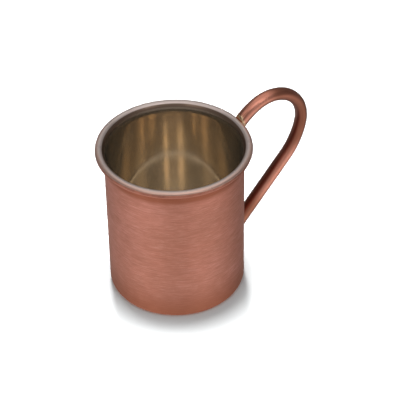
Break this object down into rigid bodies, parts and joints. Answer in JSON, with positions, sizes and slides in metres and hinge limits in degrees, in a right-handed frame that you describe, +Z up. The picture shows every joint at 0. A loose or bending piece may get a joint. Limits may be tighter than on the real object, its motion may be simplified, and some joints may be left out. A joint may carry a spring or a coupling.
{
  "type": "copper mug",
  "caption": "Straight-sided drinking mug of drawn copper, tinned inside, with a curled lip and one bent tube brazed on as a handle that loops above the rim.",
  "frame": {"origin": "centre of the flat base, on the axis of the cup", "axes": "+Z up along the cup's axis, +X from the axis towards the handle, which lies in the XZ plane"},
  "size_m": [0.14, 0.092, 0.1112],
  "materials": {
    "copper_body": "satin copper with fine brushing round the cup",
    "copper_handle": "smooth copper tube, lightly polished, with file marks at the upper foot",
    "tin": "old wiped tin, dulled and darkened to olive brown inside, pale on the lip",
    "steel_wire": "plain drawn wire, hidden in the curl",
    "braze": "yellow brazing filler, filed"
  },
  "bodies": {
    "root": {"body": "copper_body", "tin_lining": "tin", "rim_wire": "steel_wire", "handle": "copper_handle", "upper_braze": "braze", "lower_braze": "braze"}
  },
  "joints": []
}
